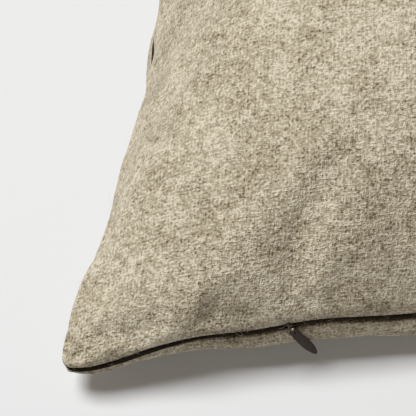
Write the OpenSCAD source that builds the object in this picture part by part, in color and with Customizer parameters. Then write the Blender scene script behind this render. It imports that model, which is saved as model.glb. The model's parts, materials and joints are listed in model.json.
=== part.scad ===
// Square knife-edge throw pillow, 20 in nominal, with a removable cover.
// The cover is two panels of fulled wool with a contrast piping in the seam and a concealed
// zip under the front piping. A feather-proof cotton insert with loose filling is inside.
// Z is up, z = 0 is the surface it lies on, and the zip side faces -Y.
// Seam sections are given as a depth inwards from the seam and a height above it.

/* [Pillow] */
// Distance between two neighbouring corners of the filled cover, before they are rounded
corner_span = 492; // [400:2:620]
// How far the middle of each side is pulled in by the filling
side_pull = 39; // [26:1:46]
// Height of the seam above the surface, along the middle of each side
seam_h = 31; // [26:1:44]
// Height of the seam above the surface at the corner tips
corner_h = 18; // [9:0.5:22]
// Height of the crown above the seam
crown_h = 106; // [80:1:130]
// Share of each side, from its middle, along which the seam stays level
level_share = 0.69; // [0.66:0.01:0.8]
// How far the rounding takes each corner tip in, as a share of its distance from the centre
corner_cut = 0.029; // [0.01:0.001:0.04]
// Share of the way to the seam that the flat underside reaches, as a contour value
contact_level = 0.5; // [0.35:0.05:0.6]

/* [Cover] */
// Thickness of the fulled wool
fabric_t = 1.5; // [0.8:0.1:2]
// Half the space between the folds of the two panels at the seam
seam_gap = 0.9; // [0.8:0.05:1.1]
// Contour value that the turned-in seam allowances and the piping's flange reach
allowance_level = 0.015; // [0.01:0.001:0.025]

/* [Piping] */
// Diameter of the cord inside the piping
cord_d = 1.8; // [1.4:0.1:2]
// Thickness of the strip wrapped round the cord
strip_t = 0.6; // [0.4:0.05:0.6]

/* [Zip] */
// Length of the chain of teeth
chain_l = 300; // [200:5:330]
// Extra tape past each end of the chain
tape_end = 9; // [6:1:12]
// Height of each zip tape
tape_w = 11; // [8:0.5:12]
// Thickness of each zip tape
tape_t = 0.5; // [0.3:0.05:0.6]
// Height of each row of teeth
coil_h = 1.2; // [0.9:0.1:1.5]
// Thickness of each row of teeth
coil_t = 1.6; // [1.2:0.1:2]
// Length of the slider's body
slider_l = 10; // [8:0.5:12]
// Thickness of the slider's walls
slider_wall = 1; // [0.7:0.1:1.3]
// Thickness of the neck that joins the slider's body to its bridge
neck_t = 0.8; // [0.6:0.05:0.9]
// Length of each stop at the ends of the chain
stop_l = 2.2; // [1.5:0.1:3]
// Width of the bar tacks that close the tapes' ends
tack_w = 1.6; // [1:0.1:2.5]

/* [Pull tab] */
// Length of the pull tab, from its hinge line to its tip
tab_l = 25; // [18:0.5:28]
// Greatest width of the pull tab
tab_w = 4.8; // [4.4:0.1:8]
// Width of the pull tab's narrow end, at its eye
tab_neck_w = 3.7; // [3.6:0.1:5]
// Thickness of the pull tab
tab_t = 0.9; // [0.7:0.05:1]
// Lean of the hanging tab from the vertical, in degrees
tab_lean = 30; // [0:1:45]
// Radius of the bridge that the tab hangs from
bridge_r = 2; // [1.8:0.1:2.4]
// Thickness of the bridge's wire
bridge_d = 0.9; // [0.7:0.05:1]
// Height of the tab's hinge bar above the slider's neck
bridge_rise = 2.2; // [1.8:0.1:2.4]
// How far the bridge stands off its foot, beyond the tab's own clearance
bridge_out = 1.2; // [0.2:0.1:2]

/* [Insert] */
// How far inside the cover's seam the insert's seam lies
insert_in = 14; // [13:0.5:20]
// Thickness of the insert's cotton
cotton_t = 0.8; // [0.5:0.1:1]
// Thickness of sewing thread
thread_d = 0.4; // [0.3:0.05:0.5]

/* [Hidden] */

wool = [0.74, 0.69, 0.61];
dark_brown = [0.15, 0.11, 0.08];
enamel = [0.24, 0.18, 0.14];
taupe = [0.55, 0.49, 0.41];
cotton = [0.93, 0.91, 0.86];

layer_gap = 0.3;                      // between two layers of cloth that lie on each other
slip = 0.1;                           // between cloth layers that are sewn tight
clear = 0.3;                          // round pieces that move
dome_pow = 0.52;                      // how round the top is, from seam to crown
corner_pow = 30;                      // how short the rounding of a corner is
fall_pow = 4;                         // how soon the seam's height gives way to the level middle
cover_side = 18;                      // stations along each side of the cover
insert_side = 12;                     // stations along each side of the insert
top_levels = [0.84, 0.62, 0.43, 0.28, 0.17, 0.09, 0.04, 0.015, 0.004];
low_levels = [0.3, 0.17, 0.09, 0.04, 0.015, 0.004];

corner_half = corner_span / 2;
mid_half = corner_half - side_pull;
arc_r = (pow(corner_half, 2) + pow(side_pull, 2)) / (2 * side_pull);
arc_y = -(mid_half + arc_r);          // centre of the front side's arc, in front of the pillow
bore_r = cord_d / 2 + 0.05;           // inside of the strip that wraps the cord
stitch_gap = 0.15;                    // between a line of stitches and the cloth it lies on
slit = 0.05;                          // half the space between the strip's two edges
edge_in = 0.2;                        // depth of a panel's lowest outer edge
bore_back = 180 - asin(2 * slit / bore_r);
tube_r = bore_r + strip_t;
rim_w = 3.3;                          // depth within which offsets follow the outline exactly
rim_wall = seam_gap + 2 * fabric_t + layer_gap;
fold_h = 1.9 + max(0, tube_r - 1.55); // height of the panel's lowest outer edge above the seam
fold_in = tube_r + 0.35;              // depth at which the fold's underside starts
strip_in = 2 * fabric_t + layer_gap + slip;
flange_in = strip_in + 2 * strip_t;

neck_z = -(tube_r + clear + neck_t / 2);                    // middle of the slider's neck
zip_slot = -neck_z + neck_t / 2 + clear - seam_gap;         // extra opening under the piping
tape_in = flange_in + 0.4;
coil_in = tape_in + tape_t + 0.1;
plate_in = coil_in + coil_t + clear;
pin_z = neck_z + bridge_rise;                               // height of the hinge bar
upper_z = neck_z + neck_t / 2 + clear;                      // underside of the upper teeth
lower_z = neck_z - neck_t / 2 - clear;                      // top of the lower teeth
slider_reach = 6;                                           // from the chain's end to the slider
slider_out = chain_l / 2 - slider_reach;
slot_run = 12;                                              // slot past the chain's end
slot_fade = 40;                                             // length over which it closes
slider_r = arc_r + coil_in;                                 // radius of the chain's own arc
base_out = tube_r + 0.25;                                   // foot of the bridge, outside
base_t = 0.5;
pin_d = 0.9;                                                // the tab's hinge bar
pin_out = base_out + base_t + clear + bridge_d / 2 + bridge_out; // how far outside the bar turns
foot_w = 2.4;                                               // the foot that the bridge stands on
foot_down = max(bridge_r + bridge_d, (bridge_rise + neck_t / 2) / cos(tab_lean));
eye_end = bridge_r + bridge_d / 2 + 0.8;                    // length of the tab's eye
eye_w = bridge_d + 1.2;

function smooth(a) = let(c = min(1, max(0, a))) c * c * (3 - 2 * c);

// ---- the outline, and the contours of the filled shape inside it

// Distance that a side's arc curves outwards, from its middle to t, where t = 1 is a corner
function sag(t) = arc_r - sqrt(pow(arc_r, 2) - pow(corner_half * t, 2));
function half_at(t) = mid_half + sag(t);
function rounding(p) = 1 - corner_cut * pow(abs(p[0] * p[1]), corner_pow);
function plan(p) = [p[0] * half_at(p[1]), p[1] * half_at(p[0])] * rounding(p);

// Point of the unit square's edge at w, which runs from 0 to 4 anticlockwise from front left
function square_at(w) =
  let(v = w < 0 ? w + 4 : w, s = floor(v) % 4, t = 2 * (v - floor(v)) - 1)
  s == 0 ? [t, -1] : s == 1 ? [1, t] : s == 2 ? [-t, 1] : [-1, -t];

// Stations close up towards the corners
function stations(n) =
  [for (s = [0 : 3], k = [0 : n - 1]) s + (1 + sin(90 * (2 * k / n - 1))) / 2];

function outward(w) =
  let(d = plan(square_at(w + 0.002)) - plan(square_at(w - 0.002))) [d[1], -d[0]] / norm(d);

// Share of the way from the centre to the edge point p at which the contour has value d
function reach(p, d) =
  let(a = pow(p[0] * p[1], 2), b = p[0] * p[0] + p[1] * p[1], c = 1 - d)
  sqrt(2 * c / (b + sqrt(max(0, b * b - 4 * a * c))));

function along(p) = min(abs(p[0]), abs(p[1]));

// Height of the seam at edge point p, levelled towards the centre by the share r
function seam_at(p, r = 1) =
  seam_h - (seam_h - corner_h) * smooth((along(p) - level_share) / (1 - level_share))
  * pow(r, fall_pow);

// Extra opening between the piping and the bottom panel, only over the zip
function slot_at(p) =
  p[1] > -0.999 ? 0
  : zip_slot * (1 - smooth((abs(p[0]) * corner_half - chain_l / 2 - slot_run)
    / slot_fade));

// Point at a depth inside the outline and a height above the seam
function rim_point(w, depth, h) =
  let(p = square_at(w), n = outward(w), e = plan(p) - n * min(depth, rim_w),
      q = e * (1 - max(0, depth - rim_w) / mid_half))
  [q[0], q[1], seam_at(p) + h];

// Point on the domed top: contour value d, taken in and down from the outer surface
function top_point(w, d, in, down, wall, crown) =
  let(p = square_at(w), r = reach(p, d), q = plan(p * r) * (1 - in / mid_half))
  [q[0], q[1], seam_at(p, r) + wall - down + (crown - wall) * pow(d, dome_pow)];

// Point on the underside: steep below the seam, then rounding under to the flat contact
function low_point(w, d, in, up, wall, lift, slot) =
  let(p = square_at(w), r = reach(p, d), q = plan(p * r) * (1 - in / mid_half),
      e = 1 - min(1, d / contact_level), round_under = 1 - sqrt(1 - e * e))
  [q[0], q[1], lift + up + (seam_at(p) - wall - lift - slot * slot_at(p)) * round_under];

function backwards(v) = [for (i = [len(v) - 1 : -1 : 0]) v[i]];

// ---- solids made of rings of points

// Faces between neighbouring rings; flip takes each four-sided patch's other diagonal
function grid(rows, cols, wrap, flip = false) = [
  for (r = [0 : rows - (wrap ? 1 : 2)], c = [0 : cols - 1])
    let(a = r * cols + c, b = r * cols + (c + 1) % cols,
        e = ((r + 1) % rows) * cols + c, f = ((r + 1) % rows) * cols + (c + 1) % cols)
    each (flip ? [[a, b, e], [b, f, e]] : [[a, b, f], [a, f, e]])
];

// Closed solid through a stack of rings, with a point at the centre of the first and last
module dome_solid(first, rings, last) {
  cols = len(rings[0]);
  rows = len(rings);
  count = rows * cols;
  points = concat([for (r = rings) each r], [first, last]);
  caps = [for (c = [0 : cols - 1]) each [[count, (c + 1) % cols, c],
    [count + 1, count - cols + c, count - cols + (c + 1) % cols]]];
  polyhedron(points, concat(grid(rows, cols, false), caps), convexity = 6);
}

// Closed loop of the same section at every station: sections[i] is a list of points
module loop_solid(sections, flip = false) {
  polyhedron([for (s = sections) each s], grid(len(sections), len(sections[0]), true, flip),
    convexity = 8);
}

// A panel is its outer face, the fold at the seam, the seam allowance turned back along the
// inside, and its inner face. spec holds [stations, depth of its seam, half gap at the seam,
// cloth thickness, layer gap, height of the fold's outer edge, depth of the fold's underside].
function panel_wall(spec) = spec[2] + 2 * spec[3] + spec[4];

module top_panel(spec, crown) {
  ws = stations(spec[0]);
  in = spec[1];
  t = spec[3];
  g = spec[4];
  wall = panel_wall(spec);
  outer = [for (d = top_levels) [for (w = ws) top_point(w, d, in, 0, wall, crown)]];
  inner = [for (d = top_levels) [for (w = ws) top_point(w, d, in + t, t, wall, crown)]];
  fold = [
    [for (w = ws) rim_point(w, in + edge_in, spec[5])],
    [for (w = ws) rim_point(w, in + spec[6], spec[2])],
    [for (w = ws) rim_point(w, in + 2 * t + g, spec[2])],
    [for (w = ws) top_point(w, allowance_level, in + 2 * t + g, 2 * t + g, wall, crown)],
    [for (w = ws) top_point(w, allowance_level, in + t + g, t + g, wall, crown)],
    [for (w = ws) rim_point(w, in + t + g / 2, wall - t - g / 2)]
  ];
  dome_solid([0, 0, seam_h + crown], concat(outer, fold, backwards(inner)),
    [0, 0, seam_h + crown - t]);
}

module bottom_panel(spec, lift, slot) {
  ws = stations(spec[0]);
  in = spec[1];
  t = spec[3];
  g = spec[4];
  wall = panel_wall(spec);
  levels = concat([contact_level], low_levels);
  outer = [for (d = levels) [for (w = ws) low_point(w, d, in, 0, wall, lift, slot)]];
  inner = [for (d = levels) [for (w = ws) low_point(w, d, in + t, t, wall, lift, slot)]];
  fold = [
    [for (w = ws) rim_point(w, in + t + g / 2, t + g / 2 - wall - slot * slot_at(square_at(w)))],
    [for (w = ws) low_point(w, allowance_level, in + t + g, t + g, wall, lift, slot)],
    [for (w = ws) low_point(w, allowance_level, in + 2 * t + g, 2 * t + g, wall, lift, slot)],
    [for (w = ws) rim_point(w, in + 2 * t + g, -spec[2] - slot * slot_at(square_at(w)))],
    [for (w = ws) rim_point(w, in + spec[6], -spec[2] - slot * slot_at(square_at(w)))],
    [for (w = ws) rim_point(w, in + edge_in, -spec[5] - slot * slot_at(square_at(w)))]
  ];
  dome_solid([0, 0, lift + t], concat(inner, fold, backwards(outer)), [0, 0, lift]);
}

cover_spec = [cover_side, 0, seam_gap, fabric_t, layer_gap, fold_h, fold_in];
insert_gap = 0.1;
insert_layer = 0.2;                   // between the cotton and its turned-back allowance
insert_fold = 0.6;                    // height and depth of the fold at the insert's seam
insert_spec = [insert_side, insert_in, insert_gap, cotton_t, insert_layer, insert_fold,
  insert_fold];
insert_lift = fabric_t + clear;
insert_crown = crown_h - insert_lift;
fill_in = 2 * cotton_t + insert_layer + 0.6;      // the filling's depth inside the cotton
fill_level = 1.5 * allowance_level;               // its rim stays inside the allowances' edge

// ---- pieces of the cover

module cover_top_panel() {
  color(wool) top_panel(cover_spec, crown_h);
}

module cover_bottom_panel() {
  color(wool) bottom_panel(cover_spec, 0, 1);
}

// Circle of points round the seam, from behind the tube, over its outer side and back
function tube_arc(w, r, count, back) =
  [for (k = [0 : count - 1]) let(a = back - 2 * back * k / (count - 1))
    rim_point(w, -r * cos(a), r * sin(a))];

module piping_cord() {
  color(cotton) loop_solid([for (w = stations(cover_side))
    backwards(tube_arc(w, cord_d / 2, 6, bore_back))], true);
}

// The strip goes round the cord, and its two edges lie together as a flange
module piping_strip() {
  mid = strip_in + strip_t;
  back = 180 - asin(strip_t / tube_r);
  color(dark_brown) loop_solid([for (w = stations(cover_side)) backwards(concat(
    tube_arc(w, tube_r, 7, back),
    [rim_point(w, flange_in, rim_wall - flange_in),
      top_point(w, allowance_level, flange_in, flange_in, rim_wall, crown_h),
      top_point(w, allowance_level, mid + slit, mid + slit, rim_wall, crown_h),
      rim_point(w, mid + slit, rim_wall - mid - slit)],
    backwards(tube_arc(w, bore_r, 6, bore_back)),
    [rim_point(w, mid - slit, rim_wall - mid + slit),
      top_point(w, allowance_level, mid - slit, mid - slit, rim_wall, crown_h),
      top_point(w, allowance_level, strip_in, strip_in, rim_wall, crown_h),
      rim_point(w, strip_in, rim_wall - strip_in)]))]);
}

function thread_ring(w, depth, h) =
  [for (k = [0 : 3]) rim_point(w, depth - thread_d / 2 * cos(90 * k), h + thread_d / 2 * sin(90 * k))];

// The seam's thread runs round the cover from one end of the zip to the other
module cover_seam_thread() {
  limit = (1 + (chain_l / 2 + tape_end + 8) / corner_half) / 2;
  ws = stations(cover_side);
  run = concat([for (w = ws) if (w < 1 && w > limit) w], [for (w = ws) if (w >= 1) w],
    [for (w = ws) if (w < 1 - limit) w]);
  depth = flange_in + thread_d / 2 + stitch_gap;
  h = rim_wall - flange_in - stitch_gap;
  color(taupe) dome_solid(rim_point(run[0], depth, h),
    [for (w = run) thread_ring(w, depth, h)], rim_point(run[len(run) - 1], depth, h));
}

// ---- the zip, all of it on the front side's arc

// How far the allowances lean inwards at the zip's ends, where they lean most, and the
// slopes at which the two tapes follow them
end_share = allowance_level / (1 - pow((chain_l / 2 + tape_end) / corner_half, 2));
lean_run = 1.2 * mid_half * (1 - sqrt(1 - end_share));
upper_slope = lean_run / ((crown_h - rim_wall) * pow(allowance_level, dome_pow));
wall_reach = coil_h + clear + slider_wall + 0.3;    // from the teeth past the slider's wall
low_fall = (seam_h - rim_wall - zip_slot) * sqrt(1 - pow(1 - allowance_level / contact_level, 2));
lower_slope = max(0, 2 * fabric_t + layer_gap + lean_run + clear - tape_in)
  / max(1, low_fall - wall_reach);

// Sweeps the outline drawn by the children, x being the arc's own radius, between two
// distances along the chain; positive distances lie towards +X
module along_chain(from, to) {
  a = 90 - to / slider_r * 180 / PI;
  b = 90 - from / slider_r * 180 / PI;
  translate([0, arc_y, seam_h]) rotate(a) rotate_extrude(angle = b - a, $fn = 96) children();
}

// Places a child, drawn at the middle of the front side, at a distance along the chain
module at_chain(distance) {
  translate([0, arc_y, seam_h]) rotate(-distance / slider_r * 180 / PI)
    translate([0, arc_r, 0]) children();
}

upper_start = max(0, upper_z);
lower_start = lower_z - wall_reach;

// Section of a tape: upright from its toothed edge at z0 to the start of its lean, then
// leaning inwards to its free edge
module tape_section(z0, start, end, slope) {
  lean = slope * abs(end - start);
  polygon([[arc_r + tape_in, z0], [arc_r + tape_in + tape_t, z0],
    [arc_r + tape_in + tape_t, start], [arc_r + tape_in + tape_t + lean, end],
    [arc_r + tape_in + lean, end], [arc_r + tape_in, start]]);
}

module teeth_section(z0) {
  r = coil_h / 2;
  translate([arc_r + coil_in + r, z0 + r]) circle(r, $fn = 32);
  translate([arc_r + coil_in + coil_t - r, z0 + r]) circle(r, $fn = 32);
  translate([arc_r + coil_in + r, z0]) square([coil_t - coil_h, coil_h]);
}

module zip_tape_upper() {
  color(taupe) along_chain(-chain_l / 2 - tape_end, chain_l / 2 + tape_end)
    tape_section(upper_z, upper_start, upper_z + tape_w, upper_slope);
}

module zip_tape_lower() {
  color(taupe) along_chain(-chain_l / 2 - tape_end, chain_l / 2 + tape_end)
    tape_section(lower_z, lower_start, lower_z - tape_w, lower_slope);
}

module zip_teeth_upper() {
  color(taupe) along_chain(-chain_l / 2, chain_l / 2) teeth_section(upper_z);
}

module zip_teeth_lower() {
  color(taupe) along_chain(-chain_l / 2, chain_l / 2) teeth_section(lower_z - coil_h);
}

stop_gap = 0.6;                       // between a stop and the last tooth

module zip_top_stops() {
  for (z = [upper_z, lower_z - coil_h])
    color(enamel) at_chain(-chain_l / 2 - stop_gap - stop_l / 2)
      translate([-stop_l / 2, coil_in, z]) cube([stop_l, coil_t, coil_h]);
}

module zip_bottom_stop() {
  color(enamel) at_chain(chain_l / 2 + stop_gap + stop_l / 2)
    translate([-stop_l / 2, coil_in, lower_z - coil_h])
      cube([stop_l, coil_t, upper_z - lower_z + 2 * coil_h]);
}

tack_end = 2.5;                       // from the tapes' ends to the middle of a bar tack
tack_over = 2;                        // how far a bar tack reaches over each tape

module zip_bar_tacks() {
  for (end = [-1, 1])
    color(taupe) at_chain(end * (chain_l / 2 + tape_end - tack_end))
      translate([-tack_w / 2, coil_in, lower_z - tack_over])
        cube([tack_w, thread_d, upper_z - lower_z + 2 * tack_over]);
}

upper_stitch = 0.6;                   // share of each tape's height at which it is sewn
lower_stitch = 0.7;

// Line of stitches that holds a tape to its allowance, at a height on the tape
module tape_thread(z, start, slope) {
  depth = tape_in + tape_t + slope * abs(z - start) + thread_d / 2 + stitch_gap;
  color(taupe) along_chain(-chain_l / 2 - tape_end + 2, chain_l / 2 + tape_end - 2)
    translate([arc_r + depth, z]) circle(d = thread_d, $fn = 24);
}

module zip_thread_upper() {
  tape_thread(upper_z + tape_w * upper_stitch, upper_start, upper_slope);
}

module zip_thread_lower() {
  tape_thread(lower_z - tape_w * lower_stitch, lower_start, lower_slope);
}

// ---- slider and pull tab, drawn at the middle of the front side and then moved

module at_pin() {
  at_chain(-slider_out) translate([0, -pin_out, pin_z]) rotate([0, -tab_lean, 0]) children();
}

slider_lip = 0.6;                     // from the teeth's outer side to the slider's walls

// Body behind the teeth, a neck through the slot, and outside it a foot with the bridge
module zip_slider() {
  wall_in = coil_in + slider_lip;
  low = lower_z - coil_h - clear - slider_wall;
  high = upper_z + coil_h + clear;
  deep = plate_in + slider_wall - wall_in;
  color(enamel) {
    at_chain(-slider_out) {
      translate([-slider_l / 2, plate_in, low])
        cube([slider_l, slider_wall, high + slider_wall - low]);
      translate([-slider_l / 2, wall_in, low]) cube([slider_l, deep, slider_wall]);
      translate([-slider_l / 2, wall_in, high]) cube([slider_l, deep, slider_wall]);
      translate([-slider_l / 4, -base_out - base_t / 2, neck_z - neck_t / 2])
        cube([slider_l / 2, base_out + base_t / 2 + plate_in + slider_wall / 2, neck_t]);
    }
    at_pin() {
      translate([-foot_w / 2, pin_out - base_out - base_t, -foot_down])
        cube([foot_w, base_t, foot_down + bridge_r + bridge_d]);
      rotate([0, 90, 0]) rotate([0, 0, 180]) rotate_extrude(angle = 180, $fn = 48)
        translate([bridge_r, 0]) circle(d = bridge_d, $fn = 24);
      for (side = [-1, 1])
        translate([0, 0, side * bridge_r]) rotate([-90, 0, 0])
          cylinder(h = pin_out - base_out - base_t / 2, d = bridge_d, $fn = 24);
    }
  }
}

// Half-width of the tab at a share of the way from its hinge bar to its tip
function tab_half(a) =
  a < 0.55 ? (tab_neck_w + (tab_w - tab_neck_w) * smooth(a / 0.55)) / 2
  : tab_w / 2 * pow(max(0, 1 - pow((a - 0.55) / 0.45, 2)), 0.6);

// Leaf-shaped plate with an eye at its narrow end, whose end bar turns in the bridge
module zip_pull_tab() {
  side = [for (k = [0 : 20]) let(a = k / 20) [tab_half(a), -tab_l * a]];
  color(enamel) at_pin() {
    difference() {
      translate([0, tab_t / 2, 0]) rotate([90, 0, 0]) linear_extrude(tab_t)
        polygon(concat(side, [for (p = backwards(side)) if (p[0] > 0) [-p[0], p[1]]]));
      translate([-eye_w / 2, -tab_t, -eye_end + eye_w / 2])
        cube([eye_w, 2 * tab_t, eye_end - eye_w / 2 - pin_d / 2]);
      translate([0, tab_t, -eye_end + eye_w / 2]) rotate([90, 0, 0])
        cylinder(h = 2 * tab_t, d = eye_w, $fn = 32);
    }
    translate([-tab_neck_w / 2, 0, 0]) rotate([0, 90, 0])
      cylinder(h = tab_neck_w, d = pin_d, $fn = 32);
  }
}

// ---- the insert

module insert_top_panel() {
  color(cotton) top_panel(insert_spec, insert_crown);
}

module insert_bottom_panel() {
  color(cotton) bottom_panel(insert_spec, insert_lift, 0);
}

module insert_seam_thread() {
  color(taupe) loop_solid([for (w = stations(insert_side))
    thread_ring(w, insert_in - thread_d, 0)]);
}

module insert_filling() {
  ws = stations(insert_side);
  in = insert_in + fill_in;
  wall = panel_wall(insert_spec);
  top = [for (d = top_levels) if (d > allowance_level)
    [for (w = ws) top_point(w, d, in, fill_in, wall, insert_crown)]];
  low = [for (d = concat([contact_level], low_levels)) if (d > allowance_level)
    [for (w = ws) low_point(w, d, in, fill_in, wall, insert_lift, 0)]];
  rim = [for (w = ws) let(p = square_at(w), q = top_point(w, fill_level, in, 0, 0, 0))
    [q[0], q[1], seam_at(p)]];
  color("white") dome_solid([0, 0, seam_h + insert_crown - fill_in],
    concat(top, [rim], backwards(low)), [0, 0, insert_lift + fill_in]);
}

cover_top_panel();
cover_bottom_panel();
piping_strip();
piping_cord();
cover_seam_thread();
zip_tape_upper();
zip_tape_lower();
zip_teeth_upper();
zip_teeth_lower();
zip_slider();
zip_pull_tab();
zip_top_stops();
zip_bottom_stop();
zip_thread_upper();
zip_thread_lower();
zip_bar_tacks();
insert_top_panel();
insert_bottom_panel();
insert_seam_thread();
insert_filling();
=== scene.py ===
"""Square knife-edge throw pillow: fulled wool cover, piped seam, concealed zip and feather insert."""

import json
import logging
import math
from dataclasses import dataclass, field
from enum import Enum
from typing import Any, Callable, ClassVar, Sequence

import bmesh
import bpy
import numpy as np
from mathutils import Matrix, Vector


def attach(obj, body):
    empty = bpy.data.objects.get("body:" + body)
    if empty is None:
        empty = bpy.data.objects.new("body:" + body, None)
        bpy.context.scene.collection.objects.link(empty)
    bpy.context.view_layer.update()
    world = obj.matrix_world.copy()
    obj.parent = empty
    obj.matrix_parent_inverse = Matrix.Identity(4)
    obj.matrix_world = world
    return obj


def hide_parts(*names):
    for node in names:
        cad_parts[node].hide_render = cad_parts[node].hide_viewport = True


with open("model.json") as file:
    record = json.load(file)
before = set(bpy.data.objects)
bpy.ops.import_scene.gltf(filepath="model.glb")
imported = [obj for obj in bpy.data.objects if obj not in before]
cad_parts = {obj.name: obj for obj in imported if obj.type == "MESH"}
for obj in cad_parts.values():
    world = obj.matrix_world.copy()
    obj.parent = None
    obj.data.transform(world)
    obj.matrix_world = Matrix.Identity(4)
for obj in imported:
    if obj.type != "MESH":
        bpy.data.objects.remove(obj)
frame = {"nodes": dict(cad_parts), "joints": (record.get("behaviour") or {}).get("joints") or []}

log = logging.getLogger("pillow")

MM = 0.001
Colour = tuple[float, float, float]
Array = np.ndarray


class Side(Enum):
    """The two faces of the pillow."""

    TOP = 1
    BOTTOM = -1


# ---------------------------------------------------------------- shader helpers


class Value:
    """A number carried by a shader socket. Sums, products and powers of values add Math nodes."""

    def __init__(self, nodes: "NodeSet", socket: bpy.types.NodeSocket) -> None:
        """Wraps a socket of a node set."""
        self.nodes = nodes
        self.socket = socket

    def _math(self, operation: str, a: Any, b: Any) -> "Value":
        """Adds one Math node.

        Args:
            operation: The Math node's operation.
            a: First operand, a value or a number.
            b: Second operand, a value or a number.

        Returns:
            The result as a value.
        """
        node = self.nodes.add("ShaderNodeMath", {"operation": operation}, {0: a, 1: b})
        return Value(self.nodes, node.outputs[0])

    def __add__(self, other: Any) -> "Value":
        """Sum."""
        return self._math("ADD", self, other)

    __radd__ = __add__

    def __sub__(self, other: Any) -> "Value":
        """Difference."""
        return self._math("SUBTRACT", self, other)

    def __rsub__(self, other: Any) -> "Value":
        """Difference from a number."""
        return self._math("SUBTRACT", other, self)

    def __mul__(self, other: Any) -> "Value":
        """Product."""
        return self._math("MULTIPLY", self, other)

    __rmul__ = __mul__

    def __truediv__(self, other: Any) -> "Value":
        """Quotient."""
        return self._math("DIVIDE", self, other)

    def __pow__(self, other: Any) -> "Value":
        """Power."""
        return self._math("POWER", self, other)

    def sine(self) -> "Value":
        """Sine of the value, in radians."""
        return self._math("SINE", self, 0.0)

    def least(self, other: Any) -> "Value":
        """Smaller of the value and another."""
        return self._math("MINIMUM", self, other)

    def between(self, low: float, high: float, to: tuple[float, float] = (0.0, 1.0)) -> "Value":
        """Smooth step.

        Args:
            low: Value at which the result starts to change.
            high: Value at which it stops.
            to: Results below low and above high.

        Returns:
            The stepped value.
        """
        node = self.nodes.add(
            "ShaderNodeMapRange",
            {"interpolation_type": "SMOOTHSTEP"},
            {"Value": self, "From Min": low, "From Max": high, "To Min": to[0], "To Max": to[1]},
        )
        return Value(self.nodes, node.outputs["Result"])


class NodeSet:
    """The nodes of one material."""

    def __init__(self, name: str) -> None:
        """Starts a material of that name with nothing but its output."""
        self.material = bpy.data.materials.new(name)
        self.material.use_nodes = True
        self.tree = self.material.node_tree
        self.tree.nodes.clear()
        self.output = self.add("ShaderNodeOutputMaterial", {}, {})

    def add(self, kind: str, settings: dict[str, Any], inputs: dict[Any, Any]) -> bpy.types.Node:
        """Adds a node.

        Args:
            kind: The node's type.
            settings: Properties, set before its sockets are.
            inputs: Numbers, colours, values or sockets, by socket name or index.

        Returns:
            The node.
        """
        node = self.tree.nodes.new(kind)
        for key, value in settings.items():
            setattr(node, key, value)
        for key, value in inputs.items():
            socket = value.socket if isinstance(value, Value) else value
            if isinstance(socket, bpy.types.NodeSocket):
                self.tree.links.new(socket, node.inputs[key])
            else:
                node.inputs[key].default_value = socket
        return node

    def coordinates(self, output: str = "Object") -> bpy.types.NodeSocket:
        """Socket of the piece's own coordinates, Object or UV, in metres."""
        return self.add("ShaderNodeTexCoord", {}, {}).outputs[output]

    def noise(
        self, at: Any, size: float, detail: float = 2.0, rough: float = 0.5, warp: float = 0.0
    ) -> Value:
        """Cloudy pattern.

        Args:
            at: Coordinates, in metres.
            size: Rough size of a spot, in metres.
            detail: Octaves.
            rough: Share of each octave that the next one keeps.
            warp: Distortion.

        Returns:
            A value about 0.5.
        """
        node = self.add(
            "ShaderNodeTexNoise",
            {"noise_dimensions": "3D"},
            {"Vector": at, "Scale": 1.0 / size, "Detail": detail, "Roughness": rough, "Distortion": warp},
        )
        return Value(self, node.outputs["Fac"])

    def stretched(self, at: Any, scale: Sequence[float], turn: float = 0.0) -> bpy.types.NodeSocket:
        """Coordinates stretched along the axes and turned about Z.

        Args:
            at: Coordinates.
            scale: Factor along each axis.
            turn: Angle in degrees.

        Returns:
            The new coordinates' socket.
        """
        node = self.add(
            "ShaderNodeMapping",
            {"vector_type": "POINT"},
            {"Vector": at, "Rotation": (0.0, 0.0, math.radians(turn)), "Scale": tuple(scale)},
        )
        return node.outputs["Vector"]

    def parts(self, at: Any) -> tuple[Value, Value, Value]:
        """The three parts of a vector as values."""
        node = self.add("ShaderNodeSeparateXYZ", {}, {0: at})
        return tuple(Value(self, node.outputs[k]) for k in range(3))

    def blend(self, share: Any, first: Any, second: Any, how: str = "MIX") -> bpy.types.NodeSocket:
        """Mixes two colours.

        Args:
            share: Share of the second colour.
            first: Colour or socket.
            second: Colour or socket.
            how: Blend type of the Mix node.

        Returns:
            The mixed colour's socket.
        """
        node = self.add("ShaderNodeMix", {"data_type": "RGBA", "blend_type": how}, {})
        for key, value in (("Factor", share), ("A", first), ("B", second)):
            kind = "VALUE" if key == "Factor" else "RGBA"
            slot = next(s for s in node.inputs if s.name == key and s.type == kind)
            socket = value.socket if isinstance(value, Value) else value
            if isinstance(socket, bpy.types.NodeSocket):
                self.tree.links.new(socket, slot)
            else:
                slot.default_value = socket if key == "Factor" else (*socket, 1.0)
        return next(s for s in node.outputs if s.type == "RGBA")

    def bump(self, height: Value, depth: float, below: Any = None) -> bpy.types.NodeSocket:
        """Relief from a height.

        Args:
            height: Height of the surface, from 0 to 1.
            depth: Height in metres of a full step.
            below: Normal of a coarser relief.

        Returns:
            The normal's socket.
        """
        inputs = {"Height": height, "Distance": depth, "Strength": 1.0}
        if below is not None:
            inputs["Normal"] = below
        return self.add("ShaderNodeBump", {}, inputs).outputs["Normal"]

    def surface(self, **inputs: Any) -> bpy.types.Material:
        """Adds the Principled shader and joins it to the output.

        Args:
            **inputs: Its sockets, with underscores for spaces.

        Returns:
            The finished material.
        """
        named = {key.replace("_", " "): value for key, value in inputs.items()}
        for key in ("Base Color", "Sheen Tint", "Emission Color"):
            if isinstance(named.get(key), tuple):
                named[key] = (*named[key], 1.0)
        shader = self.add("ShaderNodeBsdfPrincipled", {}, named)
        self.tree.links.new(shader.outputs[0], self.output.inputs["Surface"])
        return self.material


# ---------------------------------------------------------------- finishes


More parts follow.
